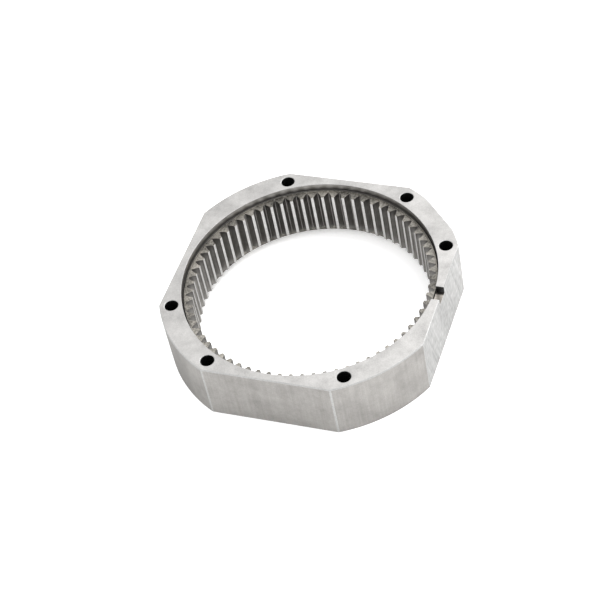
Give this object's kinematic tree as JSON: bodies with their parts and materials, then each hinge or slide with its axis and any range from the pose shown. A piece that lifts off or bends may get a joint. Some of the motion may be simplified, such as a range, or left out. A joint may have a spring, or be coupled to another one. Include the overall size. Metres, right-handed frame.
{
  "type": "internal ring gear",
  "caption": "Internal ring gear with spur teeth, a counterbored rim, flats on a round outline, bolt holes in the corners and a slot through the rim.",
  "frame": {"origin": "centre of the lower face, on the gear's axis", "axes": "+Z along the gear's axis, out of the counterbored face; +X through the flat that the slot opens in, in line with a tooth space"},
  "size_m": [0.268, 0.268, 0.063],
  "materials": {
    "gear_steel": "bare machined steel: turned and milled faces, shaped teeth, a light film of oil"
  },
  "bodies": {
    "root": {"ring_gear": "gear_steel"}
  },
  "joints": []
}
